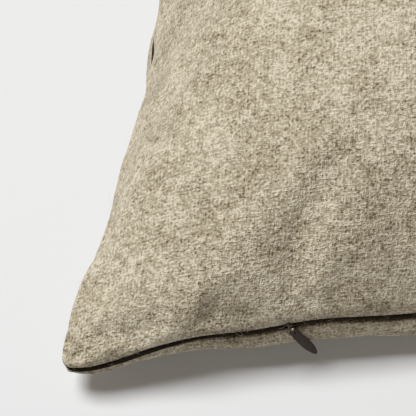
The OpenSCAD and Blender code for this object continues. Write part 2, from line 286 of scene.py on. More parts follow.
@dataclass(frozen=True)
class FulledWool:
    """Melange wool cloth, woven plain and then fulled until its weave almost closes over."""

    light: Colour = (0.69, 0.62, 0.48)
    mid: Colour = (0.415, 0.352, 0.244)
    dark: Colour = (0.152, 0.107, 0.058)
    speck: float = 1.25 * MM
    yarn: float = 1.8 * MM
    fibre: float = 0.6 * MM
    tuft: float = 3.5 * MM
    cloud: float = 24 * MM
    wander: float = 9 * MM
    relief: float = 1.5 * MM

    def material(self, name: str) -> bpy.types.Material:
        """Flecks of two wools in one yarn, a half-closed weave and fibres that lie across it.

        Args:
            name: The material's name.

        Returns:
            The material.
        """
        n = NodeSet(name)
        cloth = n.coordinates("UV")
        body = n.coordinates("Object")
        u, v, _ = n.parts(cloth)
        wander = n.noise(cloth, self.wander, 2.0) - 0.5
        turn = 2 * math.pi / self.yarn
        warp = (u * turn + wander * 2.5).sine()
        weft = (v * turn + wander * 2.5).sine()
        weave = (warp + weft) * 0.25 + 0.5
        specks = n.noise(body, self.speck, 2.2, 0.62, 0.15)
        fibres_a = n.noise(n.stretched(cloth, (1.0, 0.3, 1.0), 5.0), self.fibre, 1.5, 0.5, 0.2)
        fibres_b = n.noise(n.stretched(cloth, (0.3, 1.0, 1.0), -4.0), self.fibre, 1.5, 0.5, 0.2)
        tufts = n.noise(body, self.tuft, 2.0, 0.55)
        clouds = n.noise(body, self.cloud, 2.0, 0.5)
        blend = specks * 0.90 + (fibres_a + fibres_b) * 0.40 + tufts * 0.62 + clouds * 0.34 + weave * 0.11
        pale = blend.between(1.32, 1.55)
        deep = blend.between(1.31, 1.09)
        colour = n.blend(deep, n.blend(pale, self.mid, self.light), self.dark)
        height = specks * 0.9 + (fibres_a + fibres_b) * 0.4 + tufts * 0.5 + weave * 0.07
        relief = n.bump(height, self.relief)
        return n.surface(
            Base_Color=colour,
            Roughness=0.93,
            Specular_IOR_Level=0.18,
            Sheen_Weight=0.22,
            Sheen_Roughness=0.55,
            Sheen_Tint=(0.95, 0.90, 0.80),
            Normal=relief,
        )


@dataclass(frozen=True)
class PipingCloth:
    """Dark bias strip: a fine dull twill that wraps the cord."""

    dark: Colour = (0.014, 0.0095, 0.0055)
    worn: Colour = (0.032, 0.022, 0.012)
    thread: float = 0.42 * MM

    def material(self, name: str) -> bpy.types.Material:
        """Threads that cross the piping at a slant, rubbed paler in places.

        Args:
            name: The material's name.

        Returns:
            The material.
        """
        n = NodeSet(name)
        u, v, _ = n.parts(n.coordinates("UV"))
        turn = 2 * math.pi / self.thread
        ribs = ((u + v) * turn).sine() * 0.5 + 0.5
        cross = ((u - v) * turn).sine() * 0.5 + 0.5
        lint = n.noise(n.coordinates("Object"), 0.9 * MM, 2.0, 0.6)
        rubbed = n.noise(n.coordinates("Object"), 14 * MM, 2.0, 0.5)
        share = (ribs * 0.35 + cross * 0.15 + lint * 0.8 + rubbed * 0.7).between(0.78, 1.55)
        relief = n.bump(ribs * 0.5 + cross * 0.4 + lint * 0.8, 0.22 * MM)
        return n.surface(
            Base_Color=n.blend(share, self.dark, self.worn),
            Roughness=0.9,
            Specular_IOR_Level=0.15,
            Normal=relief,
        )


@dataclass(frozen=True)
class PlainCloth:
    """Plain woven cloth in one colour, such as the insert's cotton or a zip tape."""

    light: Colour
    dark: Colour
    yarn: float
    relief: float
    roughness: float = 0.85

    def material(self, name: str) -> bpy.types.Material:
        """Over-and-under yarns with slubs.

        Args:
            name: The material's name.

        Returns:
            The material.
        """
        n = NodeSet(name)
        at = n.coordinates("Object")
        x, y, z = n.parts(at)
        turn = 2 * math.pi / self.yarn
        weave = ((x * turn).sine() * (y * turn + z * turn).sine()) * 0.5 + 0.5
        slubs = n.noise(at, self.yarn * 5, 3.0, 0.6)
        share = weave * 0.5 + slubs * 0.9
        return n.surface(
            Base_Color=n.blend(share.between(0.45, 1.0), self.dark, self.light),
            Roughness=self.roughness,
            Specular_IOR_Level=0.25,
            Normal=n.bump(weave * 0.7 + slubs * 0.5, self.relief),
        )


@dataclass(frozen=True)
class TwistedThread:
    """Sewing thread or cord, with the twist of its plies."""

    light: Colour
    dark: Colour
    pitch: float

    def material(self, name: str) -> bpy.types.Material:
        """Plies that run round the thread at a slant.

        Args:
            name: The material's name.

        Returns:
            The material.
        """
        n = NodeSet(name)
        at = n.coordinates("Object")
        x, y, z = n.parts(at)
        turn = 2 * math.pi / self.pitch
        plies = ((x + y + z * 1.4) * turn).sine() * 0.5 + 0.5
        lint = n.noise(at, self.pitch * 0.5, 2.0)
        return n.surface(
            Base_Color=n.blend((plies * 0.7 + lint * 0.5).between(0.2, 1.0), self.dark, self.light),
            Roughness=0.72,
            Specular_IOR_Level=0.15,
            Normal=n.bump(plies * 0.8 + lint * 0.3, 0.12 * MM),
        )


@dataclass(frozen=True)
class EnamelledMetal:
    """Baked enamel over cast zinc, rubbed through to the metal round a point that wears."""

    paint: Colour = (0.042, 0.023, 0.013)
    shade: Colour = (0.024, 0.013, 0.0075)
    metal: Colour = (0.50, 0.42, 0.37)
    wear_at: tuple[float, float, float] = (0.0, 0.0, 0.0)
    wear_radius: float = 0.0

    def material(self, name: str) -> bpy.types.Material:
        """Slightly uneven enamel, with bare metal inside the worn radius.

        Args:
            name: The material's name.

        Returns:
            The material.
        """
        n = NodeSet(name)
        at = n.coordinates("Object")
        orange_peel = n.noise(at, 1.6 * MM, 2.0, 0.5)
        grain = n.noise(at, 0.25 * MM, 2.0, 0.6)
        colour = n.blend(orange_peel.between(0.35, 0.65), self.shade, self.paint)
        bare: Any = 0.0
        roughness = orange_peel * 0.12 + 0.55
        if self.wear_radius > 0:
            away = n.add("ShaderNodeVectorMath", {"operation": "DISTANCE"}, {0: at, 1: self.wear_at})
            reach = Value(n, away.outputs["Value"]) / self.wear_radius
            bare = (reach + (grain - 0.5) * 0.5).between(1.0, 0.8)
            colour = n.blend(bare, colour, self.metal)
            roughness = roughness - bare * 0.25
        return n.surface(
            Base_Color=colour,
            Metallic=bare,
            Roughness=roughness,
            Specular_IOR_Level=0.3,
            Normal=n.bump(orange_peel * 0.7 + grain * 0.3, 0.05 * MM),
        )


@dataclass(frozen=True)
class MouldedNylon:
    """Zip teeth: a coil of nylon monofilament, drawn as close turns."""

    light: Colour = (0.30, 0.25, 0.19)
    dark: Colour = (0.12, 0.095, 0.07)
    turn: float = 1.3 * MM

    def material(self, name: str) -> bpy.types.Material:
        """Turns across the row of teeth.

        Args:
            name: The material's name.

        Returns:
            The material.
        """
        n = NodeSet(name)
        at = n.coordinates("Object")
        x, _, z = n.parts(at)
        turns = ((x + z * 0.3) * (2 * math.pi / self.turn)).sine() * 0.5 + 0.5
        mottling = n.noise(at, 3 * MM, 2.0)
        return n.surface(
            Base_Color=n.blend(turns.between(0.1, 0.7), self.dark, self.light),
            Roughness=mottling * 0.1 + 0.38,
            Normal=n.bump(turns, 0.35 * MM),
        )


@dataclass(frozen=True)
class FeatherFill:
    """Loose feathers: soft pale tufts with darker quills between them."""

    light: Colour = (0.86, 0.84, 0.79)
    dark: Colour = (0.50, 0.46, 0.40)

    def material(self, name: str) -> bpy.types.Material:
        """Overlapping tufts.

        Args:
            name: The material's name.

        Returns:
            The material.
        """
        n = NodeSet(name)
        at = n.coordinates("Object")
        tufts = n.noise(n.stretched(at, (1.0, 0.35, 1.0), 30.0), 14 * MM, 4.0, 0.65, 1.4)
        barbs = n.noise(n.stretched(at, (0.3, 1.0, 1.0), -20.0), 2.5 * MM, 3.0, 0.6, 0.8)
        return n.surface(
            Base_Color=n.blend((tufts * 0.8 + barbs * 0.5).between(0.45, 0.85), self.dark, self.light),
            Roughness=0.9,
            Sheen_Weight=0.2,
            Normal=n.bump(tufts + barbs * 0.5, 2.5 * MM),
        )


# ---------------------------------------------------------------- mesh helpers


def make_piece(name: str, points: Array, quads: Array, uv: Array | None = None) -> bpy.types.Object:
    """Makes a smooth mesh object from whole arrays.

    Args:
        name: The piece's name.
        points: Vertices, n by 3, in metres.
        quads: Faces, m by 4, or by 3 for triangles.
        uv: Cloth coordinates of each vertex, n by 2, in metres.

    Returns:
        The object, linked at the origin.
    """
    sides = quads.shape[1]
    mesh = bpy.data.meshes.new(name)
    mesh.vertices.add(len(points))
    mesh.vertices.foreach_set("co", points.astype(np.float32).ravel())
    mesh.loops.add(quads.size)
    mesh.loops.foreach_set("vertex_index", quads.astype(np.int32).ravel())
    mesh.polygons.add(len(quads))
    mesh.polygons.foreach_set("loop_start", np.arange(0, quads.size, sides, dtype=np.int32))
    mesh.update(calc_edges=True)
    mesh.polygons.foreach_set("use_smooth", np.ones(len(quads), bool))
    if uv is not None:
        layer = mesh.uv_layers.new(name="cloth")
        layer.data.foreach_set("uv", uv[quads.ravel()].astype(np.float32).ravel())
    mesh.validate()
    piece = bpy.data.objects.new(name, mesh)
    bpy.context.scene.collection.objects.link(piece)
    return piece


def grid_faces(index: Array) -> Array:
    """Four-sided faces between a grid of vertex numbers, one for each cell."""
    return np.stack([index[:-1, :-1], index[1:, :-1], index[1:, 1:], index[:-1, 1:]], -1).reshape(-1, 4)


def grid_rim(index: Array) -> Array:
    """Vertex numbers of a square grid's edge, in order round it from its first corner."""
    return np.concatenate([index[:-1, 0], index[-1, :-1], index[:0:-1, -1], index[0, :0:-1]])


def bag_faces(count: int) -> tuple[Array, Array]:
    """Faces of two square grids, one over the other, closed by a band between their edges.

    Args:
        count: Points along each side of a grid.

    Returns:
        The faces, and the vertex numbers of both edges.
    """
    index = np.arange(count * count).reshape(count, count)
    ring, cells = grid_rim(index), grid_faces(index)
    under = ring + count * count
    band = np.stack([ring, under, np.roll(under, -1), np.roll(ring, -1)], -1)
    return np.concatenate([cells, cells[:, ::-1] + count * count, band]), np.concatenate([ring, under])


def dress(piece: bpy.types.Object, material: bpy.types.Material) -> None:
    """Gives a piece one material in place of what it had."""
    piece.data.materials.clear()
    piece.data.materials.append(material)


def smooth_step(a: Array) -> Array:
    """Rises from 0 to 1 as a does, level at both ends: 3a squared less 2a cubed."""
    c = np.clip(a, 0.0, 1.0)
    return c * c * (3 - 2 * c)


def ripple(w: Array, seed: int, lengths: Sequence[int]) -> Array:
    """Gentle irregular wave round the seam: a sum of sines of w with fixed random phases.

    Args:
        w: Place round the seam, from 0 to 4.
        seed: Seed of the phases.
        lengths: Whole waves in each full round, one entry for each sine.

    Returns:
        The wave, with a standard deviation of about 1.
    """
    rng = np.random.default_rng(seed)
    phase = rng.uniform(0, 2 * math.pi, len(lengths))
    share = rng.uniform(0.6, 1.0, len(lengths))
    waves = share * np.sin(np.multiply.outer(w, np.array(lengths) * math.pi / 2) + phase)
    return waves.sum(-1) / math.sqrt(0.5 * float((share**2).sum()))


# ---------------------------------------------------------------- the filled shape


@dataclass(frozen=True)
class FilledForm:
    """The filled pillow's sizes, which are the model's own."""

    corner_half: float = 246 * MM
    side_pull: float = 39 * MM
    seam_h: float = 31 * MM
    corner_h: float = 18 * MM
    crown_h: float = 106 * MM
    level_share: float = 0.69
    corner_cut: float = 0.029
    corner_pow: float = 30.0
    fall_pow: float = 4.0
    dome_pow: float = 0.52
    contact_level: float = 0.5

    @property
    def mid_half(self) -> float:
        """Distance from the centre to the middle of a side."""
        return self.corner_half - self.side_pull

    @property
    def arc_r(self) -> float:
        """Radius of a side's arc."""
        return (self.corner_half**2 + self.side_pull**2) / (2 * self.side_pull)

    def half_at(self, t: Array) -> Array:
        """Half the pillow's width at t along it: the side's arc bows in from the corners."""
        return self.mid_half + self.arc_r - np.sqrt(self.arc_r**2 - (self.corner_half * t) ** 2)

    def plan(self, u: Array, v: Array) -> tuple[Array, Array]:
        """Point of the plan at u, v of a square.

        Each is scaled by the half width at the other, and the corners are cut.
        """
        cut = 1 - self.corner_cut * np.abs(u * v) ** self.corner_pow
        return u * self.half_at(v) * cut, v * self.half_at(u) * cut

    def corner_fall(self, share: Array) -> Array:
        """How far the seam has fallen at a share of the way from a side's middle to its corner."""
        fallen = smooth_step((share - self.level_share) / (1 - self.level_share))
        return (self.seam_h - self.corner_h) * fallen


def square_at(w: Array) -> tuple[Array, Array]:
    """Point of the unit square's edge at w, from 0 at the front left corner, anticlockwise, to 4."""
    s = np.floor(w % 4.0)
    t = 2 * (w % 1.0) - 1
    one = np.ones_like(t)
    u = np.select([s == 0, s == 1, s == 2], [t, one, -t], -one)
    v = np.select([s == 0, s == 1, s == 2], [-one, t, one], -t)
    return u, v


def place_round(u: Array, v: Array) -> Array:
    """The w of the edge point on the same ray from the centre as u, v."""
    r = np.maximum(np.maximum(np.abs(u), np.abs(v)), 1e-9)
    a, b = u / r, v / r
    front, right, back = b <= -1 + 1e-9, a >= 1 - 1e-9, b >= 1 - 1e-9
    places = [(a + 1) / 2, 1 + (b + 1) / 2, 2 + (1 - a) / 2]
    return np.select([front, right, back], places, 3 + (1 - b) / 2) % 4.0


@dataclass(frozen=True)
class Pucker:
    """Slow waves of one side of the seam, in millimetres: a sine, and a bow over the whole side."""

    depth: float
    length: float
    phase: float
    whole: float
    half: float

    def wave(self, run: Array, share: Array, ends: Array) -> Array:
        """The wave along the side.

        It is depth times the sine of the distance over the length, faded at the ends, plus whole times one
        sine wave over the side and half times one and a half.

        Args:
            run: Distance along the side, in metres.
            share: Place along the seam's side, from 0 to 1.
            ends: Fade of the sine, 0 at the corners.

        Returns:
            The wave's height, in millimetres.
        """
        sine = self.depth * ends * np.sin(2 * math.pi * run / (self.length * MM) + self.phase)
        return sine + self.whole * np.sin(2 * math.pi * share) + self.half * np.sin(3 * math.pi * share)


class SeamLine:
    """The seam's course round the pillow, with its rounded corners, its slight wander and its puckers."""

    STEPS = 3840
    SWAY_WAVES = (17, 23, 31, 43)
    LIFT_WAVES = (13, 19, 29, 41)
    FRONT = Pucker(depth=-1.62, length=70.9, phase=0.43, whole=0.48, half=-0.90)
    LEFT = Pucker(depth=-1.28, length=80.5, phase=2.42, whole=-0.22, half=-0.63)
    CORNER_FADE = 40 * MM
    FRONT_RUN = 180 * MM
    FRONT_FADE = 70 * MM
    FRONT_DROP = 0.45
    TIP_LIFT = 1.0
    TIP_REACH = 22 * MM

    def __init__(self, form: FilledForm, rounding: float = 6.1 * MM, wander: float = 0.3 * MM) -> None:
        """Works the seam out at even steps of w.

        Args:
            form: The filled shape.
            rounding: Standard deviation of the smoothing that rounds the corners.
            wander: Height of the seam's wander.
        """
        self.form = form
        self.w = np.arange(self.STEPS) * (4.0 / self.STEPS)
        u, v = square_at(self.w)
        x, y = form.plan(u, v)
        waves = np.fft.fftfreq(self.STEPS, 1.0 / self.STEPS)
        sigma = rounding / (8 * form.corner_half) * 2 * math.pi
        line = np.fft.ifft(np.fft.fft(x + 1j * y) * np.exp(-0.5 * (waves * sigma) ** 2))
        slope = np.roll(line, -1) - np.roll(line, 1)
        out = -1j * slope / np.abs(slope)
        share = np.minimum(np.abs(u), np.abs(v))
        level = 1 - smooth_step((share - 0.75) / 0.2)
        self.share = share
        self.nx, self.ny = out.real, out.imag
        steady = 0.35 + 0.65 * level
        rise, bow = self.puckers()
        self.sway = wander * 0.8 * ripple(self.w, 5, self.SWAY_WAVES) * steady + bow
        # The height wanders less along the front, where the slider's neck needs an even seam.
        calm = 0.25 + 0.75 * smooth_step(np.minimum(self.w - 1, 4 - self.w) / 0.1)
        self.lift = wander * calm * ripple(self.w, 11, self.LIFT_WAVES) * steady + rise
        self.dx = line.real - x + self.nx * self.sway
        self.dy = line.imag - y + self.ny * self.sway
        self.x, self.y = x + self.dx, y + self.dy
        self.z = form.seam_h - form.corner_fall(share) + self.lift

    def puckers(self) -> tuple[Array, Array]:
        """Slow waves where the cloth puckers along the seam: the front's in height, the left's sideways.

        The sines fade in over 40 mm from the corners. The front waves fade out before the far half of the
        zip, where the slider's neck needs an even seam, and the front's course is a little lower. The front
        left tip lifts off its even course by a Gaussian of the distance from it.

        Returns:
            The height of the front waves and the sideways sway of the left ones.
        """
        form = self.form
        run = 2 * form.corner_half * (self.w % 1.0)
        left = 2 * form.corner_half - run
        ends = smooth_step(run / self.CORNER_FADE) * smooth_step(left / self.CORNER_FADE)
        rise = self.FRONT.wave(run, self.w % 1.0, ends)
        bow = self.LEFT.wave(left, self.w % 1.0, ends)
        rise = rise * (1 - smooth_step((run - self.FRONT_RUN) / self.FRONT_FADE))
        side = np.floor(self.w)
        from_tip = np.minimum(self.w, 4 - self.w) * 2 * form.corner_half
        tip = self.TIP_LIFT * np.exp(-0.5 * (from_tip / self.TIP_REACH) ** 2)
        front = np.where(side == 0, rise - self.FRONT_DROP * ends, 0.0)
        return MM * (front + tip), MM * np.where(side == 3, bow, 0.0)

    def at(self, w: Array, name: str) -> Array:
        """One of the seam's quantities at any w, drawn round from its even steps."""
        grid = np.append(self.w, 4.0)
        values = getattr(self, name)
        return np.interp(w % 4.0, grid, np.append(values, values[0]))

    def section(self, w: Array, out: Array, up: Array) -> Array:
        """Points at a distance outside the seam line and above it.

        Args:
            w: Places round the seam.
            out: Distances along the outward normal.
            up: Heights above the seam.

        Returns:
            Points, of w's shape by 3.
        """
        return np.stack(
            [
                self.at(w, "x") + self.at(w, "nx") * out,
                self.at(w, "y") + self.at(w, "ny") * out,
                self.at(w, "z") + up,
            ],
            -1,
        )

    def front_only(self, w: Array, half: float, fade: float) -> Array:
        """1 along the front seam within half of its middle, fading to 0."""
        front = (w % 4.0) < 1.0
        away = np.abs(2 * (w % 1.0) - 1) * self.form.corner_half
        return np.where(front, 1 - smooth_step((away - half) / fade), 0.0)


# ---------------------------------------------------------------- panels


@dataclass
class PanelShape:
    """One sewn panel of a filled cover: its face, the roll beside the seam and the turned-in edge.

    Each bare stretch is a place round the seam, its reach there, and how far the roll draws back from the
    piping at its middle. A depth below 0 pushes the roll out over the piping.
    """

    form: FilledForm
    seam: SeamLine
    side: Side
    grid: int = 193
    inset: float = 0.0
    roll: float = 1.3 * MM
    lip: float = 0.65 * MM
    lip_corner: float = 0.1 * MM
    bulge: float = 1.4 * MM
    slot: float = 0.0
    slot_half: float = 162 * MM
    slot_fade: float = 40 * MM
    lip_vary: float = 0.22 * MM
    swell_height: float = 11 * MM
    lift: float = 0.0
    crown_less: float = 0.0
    edge_in: float = 4.4 * MM
    bare: tuple[tuple[float, float, float], ...] = ()

    LIP_WAVES: ClassVar[tuple[int, ...]] = (9, 14, 22, 35)
    LIP_SEEDS: ClassVar[dict[Side, int]] = {Side.TOP: 21, Side.BOTTOM: 22}
    ROLL_ANGLES: ClassVar[tuple[float, ...]] = (18.0, 36.0, 54.0, 72.0, 90.0)

    def stations(self, count: int) -> Array:
        """Even steps that close up towards both ends, from -1 to 1."""
        s = np.linspace(-1, 1, count)
        return 0.05 * s + 0.95 * np.sin(0.5 * math.pi * s)

    def lip_at(self, w: Array) -> Array:
        """How far outside the seam the roll's centre stands.

        It changes towards the corners, wanders slowly between them and gives way at the bare stretches.
        """
        share = self.seam.at(w, "share")
        near = smooth_step((share - 0.55) / 0.35)
        vary = self.lip_vary * ripple(w, self.LIP_SEEDS[self.side], self.LIP_WAVES)
        bare = 0.0
        for place, reach, depth in self.bare:
            bare = bare + depth * np.exp(-0.5 * (((w - place + 2) % 4.0 - 2) / reach) ** 2)
        return self.lip + (self.lip_corner - self.lip) * near + vary * (1 - near) - bare

    def gap_at(self, w: Array) -> Array:
        """Height of the roll's centre from the seam, with the opening over the zip."""
        return 1.5 * MM + self.roll + self.slot * self.seam.front_only(w, self.slot_half, self.slot_fade)

    def face(self, count: int) -> Array:
        """The panel's face on a square grid.

        The top rises above its seam by the crown times the 0.52 power of (1-u2)(1-v2), and swells out over
        the piping. The underside falls from the seam and rounds under to a flat that starts where that
        product is 0.5.

        Args:
            count: Points along each side.

        Returns:
            Points, count by count by 3.
        """
        f = self.form
        s = self.stations(count)
        u, v = np.meshgrid(s, s, indexing="ij")
        r = np.maximum(np.abs(u), np.abs(v))
        w = place_round(u, v)
        d = (1 - u * u) * (1 - v * v)
        near = r**24
        nx, ny = self.seam.at(w, "nx"), self.seam.at(w, "ny")
        out_edge = self.lip_at(w) + self.roll
        gap = self.gap_at(w)
        shrink = 1 - self.inset / f.mid_half
        if self.side is Side.TOP:
            x, y = f.plan(u, v)
            top = f.crown_h - self.crown_less
            h = gap + (top - gap) * d**f.dome_pow
            fall = f.corner_fall(self.seam.at(w, "share")) * r**f.fall_pow
            z = f.seam_h - fall + self.seam.at(w, "lift") * r**8 + h
            out = out_edge * np.exp(-0.5 * ((h - gap) / self.swell_height) ** 2) * r**12
        else:
            hug = (1 - r) / ((1 - r) + 0.055)
            q = np.clip(1 - (1 - r) * hug, 0, 1) / np.maximum(r, 1e-9)
            x, y = f.plan(u * q, v * q)
            e = 1 - np.minimum(1, d / f.contact_level)
            edge_z = self.seam.at(w, "z") - gap - self.lift
            z = self.lift + edge_z * (1 - np.sqrt(1 - e * e))
            down = np.clip(1 - (z - self.lift) / edge_z, 0, 1)
            share = self.seam.at(w, "share")
            at_corner, at_middle = smooth_step((share - 0.55) / 0.4), 1 - smooth_step(share / 0.55)
            full = self.bulge * (1 - 0.75 * at_corner + 0.34 * at_middle)
            out = (out_edge * (1 - down) ** 2 + full * np.sin(math.pi * down)) * r**6
        x = (x + self.seam.at(w, "dx") * near) * shrink + nx * out
        y = (y + self.seam.at(w, "dy") * near) * shrink + ny * out
        return np.stack([x, y, z], -1)

    def roll_rows(self, w: Array) -> Array:
        """Rows from the face's edge round the roll beside the seam and in along the seam allowance.

        The section is a quarter circle of the roll's radius, then a curve that hugs the piping and goes in.

        Args:
            w: Places round the seam.

        Returns:
            Points, rows by places by 3.
        """
        sign = self.side.value
        centre, gap = self.lip_at(w), self.gap_at(w)
        angle = np.radians(self.ROLL_ANGLES)[:, None]
        out = centre + self.roll * np.cos(angle)
        up = gap - self.roll * np.sin(angle)
        inner = np.array([-0.4, -1.3, -2.4, -self.edge_in / MM])[:, None] * MM
        rise = np.array([0.10, -0.15, -0.45, -0.55])[:, None] * MM
        outs = np.concatenate([out, np.broadcast_to(inner, (4, w.size))])
        ups = np.concatenate([up, (gap - self.roll) + rise])
        shrink = 1 - self.inset / self.form.mid_half
        wide = np.broadcast_to(w, outs.shape)
        points = self.seam.section(wide, outs, sign * ups)
        flat = self.seam.section(wide, np.zeros_like(outs), np.zeros_like(ups))
        points[..., :2] += flat[..., :2] * (shrink - 1)
        return points

    def build(self, name: str, move: Array | None = None) -> bpy.types.Object:
        """Joins the face and the rolled edge into one mesh.

        Args:
            name: The piece's name.
            move: How the face's points move, grid by grid by 3, level with nothing at the edge.

        Returns:
            The piece, one layer of points thick.
        """
        n = self.grid
        face = self.face(n)
        if move is not None:
            face = face + move
            if self.side is Side.BOTTOM:
                face[..., 2] = np.maximum(face[..., 2], self.lift)
        s = self.stations(n)
        index = np.arange(n * n).reshape(n, n)
        ring = grid_rim(index)
        w = np.concatenate([side + (s[:-1] + 1) / 2 for side in range(4)])
        rows = self.roll_rows(w)
        count = len(rows)
        rings = np.concatenate([ring[None, :], n * n + np.arange(count * ring.size).reshape(count, -1)])
        a, b = rings[:-1], rings[1:]
        a2, b2 = np.roll(a, -1, 1), np.roll(b, -1, 1)
        edge = np.stack([a, b, b2, a2], -1).reshape(-1, 4)
        quads = np.concatenate([grid_faces(index), edge])
        if self.side is Side.BOTTOM:
            quads = quads[:, ::-1]
        points = np.concatenate([face.reshape(-1, 3), rows.reshape(-1, 3)])
        uv = self.cloth_uv(face, ring, rows, w)
        return make_piece(name, points, quads, uv)

    def cloth_uv(self, face: Array, ring: Array, rows: Array, w: Array) -> Array:
        """Cloth coordinates: distances walked over the face from its centre lines, and on over the roll.

        Args:
            face: The face's points.
            ring: Indices of its edge.
            rows: Points of the roll.
            w: Places of the roll's stations.

        Returns:
            One pair for each vertex, in metres.
        """
        middle = self.grid // 2
        across = np.linalg.norm(np.diff(face, axis=0), axis=-1)
        along = np.linalg.norm(np.diff(face, axis=1), axis=-1)
        u = np.concatenate([np.zeros((1, self.grid)), np.cumsum(across, 0)])
        v = np.concatenate([np.zeros((self.grid, 1)), np.cumsum(along, 1)], 1)
        u, v = u - u[middle], v - v[:, middle : middle + 1]
        flat = np.stack([u, v], -1).reshape(-1, 2)
        edge = face.reshape(-1, 3)[ring]
        path = np.concatenate([edge[None], rows])
        walked = np.cumsum(np.linalg.norm(np.diff(path, axis=0), axis=-1), 0)
        normal = np.stack([self.seam.at(w, "nx"), self.seam.at(w, "ny")], -1)
        return np.concatenate([flat, (flat[ring] + walked[..., None] * normal).reshape(-1, 2)])


def cubic_weights(coarse: int, fine: int) -> Array:
    """Weights that take values at coarse even steps to fine ones, by a cubic through four neighbours.

    Args:
        coarse: Number of even steps that values are known at.
        fine: Number of even steps wanted.

    Returns:
        Matrix, fine by coarse.
    """
    at = np.linspace(0, coarse - 1, fine)
    low = np.minimum(np.floor(at).astype(int), coarse - 2)
    t = at - low
    terms = [
        (-t + 2 * t**2 - t**3) / 2,
        (2 - 5 * t**2 + 3 * t**3) / 2,
        (t + 4 * t**2 - 3 * t**3) / 2,
        (-(t**2) + t**3) / 2,
    ]
    weights = np.zeros((fine, coarse))
    for step, term in zip((-1, 0, 1, 2), terms):
        np.add.at(weights, (np.arange(fine), np.clip(low + step, 0, coarse - 1)), term)
    return weights


@dataclass
class Inflation:
    """Blows the sewn cover up as cloth, to find how the fabric swells and settles between its seams."""

    top: PanelShape
    bottom: PanelShape
    grid: int = 85
    frames: int = 20
    pressure: float = 4.0
    spare: float = 0.012
    swell: float = 0.35
    limit: float = 11 * MM
    bottom_share: float = 0.3

    def run(self) -> tuple[Array, Array]:
        """Simulates both panels, sewn and pinned at the seam.

        Returns:
            Moves of the top and the bottom face, each grid by grid by 3. The bottom keeps less of its own,
            as the pillow's weight holds it.
        """
        n = self.grid
        faces = [self.top.face(n), self.bottom.face(n)]
        quads, edges = bag_faces(n)
        start = np.concatenate([f.reshape(-1, 3) for f in faces])
        bag = make_piece("cover_trial", start, quads)
        group = bag.vertex_groups.new(name="seam")
        group.add([int(k) for k in edges], 1.0, "REPLACE")
        cloth = bag.modifiers.new("cloth", "CLOTH")
        c = cloth.settings
        c.quality = 6
        c.mass = 0.3
        c.tension_stiffness = c.compression_stiffness = 12
        c.shear_stiffness = 6
        c.bending_stiffness = 1.2
        c.use_pressure = True
        c.uniform_pressure_force = self.pressure
        c.vertex_group_mass = "seam"
        c.shrink_min = -self.spare
        c.effector_weights.gravity = 0.0
        cloth.collision_settings.use_collision = False
        scene = bpy.context.scene
        scene.frame_start, scene.frame_end = 1, self.frames
        cloth.point_cache.frame_start, cloth.point_cache.frame_end = 1, self.frames
        for step in range(1, self.frames + 1):
            scene.frame_set(step)
        settled = bag.evaluated_get(bpy.context.evaluated_depsgraph_get())
        end = np.empty(len(start) * 3, np.float32)
        settled.data.vertices.foreach_get("co", end)
        move = end.reshape(-1, 3).astype(float) - start
        bpy.data.objects.remove(bag)
        scene.frame_set(1)
        log.info("inflation moved the cloth by up to %.1f mm", float(np.abs(move).max()) / MM)
        upper, lower = (self.settle(part.reshape(n, n, 3)) for part in (move[: n * n], move[n * n :]))
        return upper, self.bottom_share * lower

    def settle(self, move: Array) -> Array:
        """Keeps the creases and a share of the swelling.

        The broad part of the move, its Gaussian mean over a fourteenth of the panel each way, counts by the
        swell share. The rest counts whole. The total is capped smoothly and fades to nothing at the seam.

        Args:
            move: Raw moves, grid by grid by 3.

        Returns:
            Moves to give the panel, of the same shape.
        """
        n = self.grid
        steps = np.arange(n)
        spread = np.exp(-0.5 * ((steps[:, None] - steps[None, :]) / (n / 14)) ** 2)
        spread /= spread.sum(1, keepdims=True)
        broad = np.einsum("ia,jb,abk->ijk", spread, spread, move)
        kept = (move - broad) + self.swell * broad
        size = np.linalg.norm(kept, axis=-1, keepdims=True)
        kept = kept * np.tanh(size / self.limit) / np.maximum(size / self.limit, 1e-9)
        s = np.linspace(-1, 1, n)
        fade = smooth_step((1 - np.abs(s)) / 0.06)
        return kept * (fade[:, None] * fade[None, :])[..., None]

    @staticmethod
    def refine(move: Array, fine: int) -> Array:
        """Moves on a finer grid, by cubics along both of its directions."""
        weights = cubic_weights(move.shape[0], fine)
        return np.einsum("ia,jb,abk->ijk", weights, weights, move)


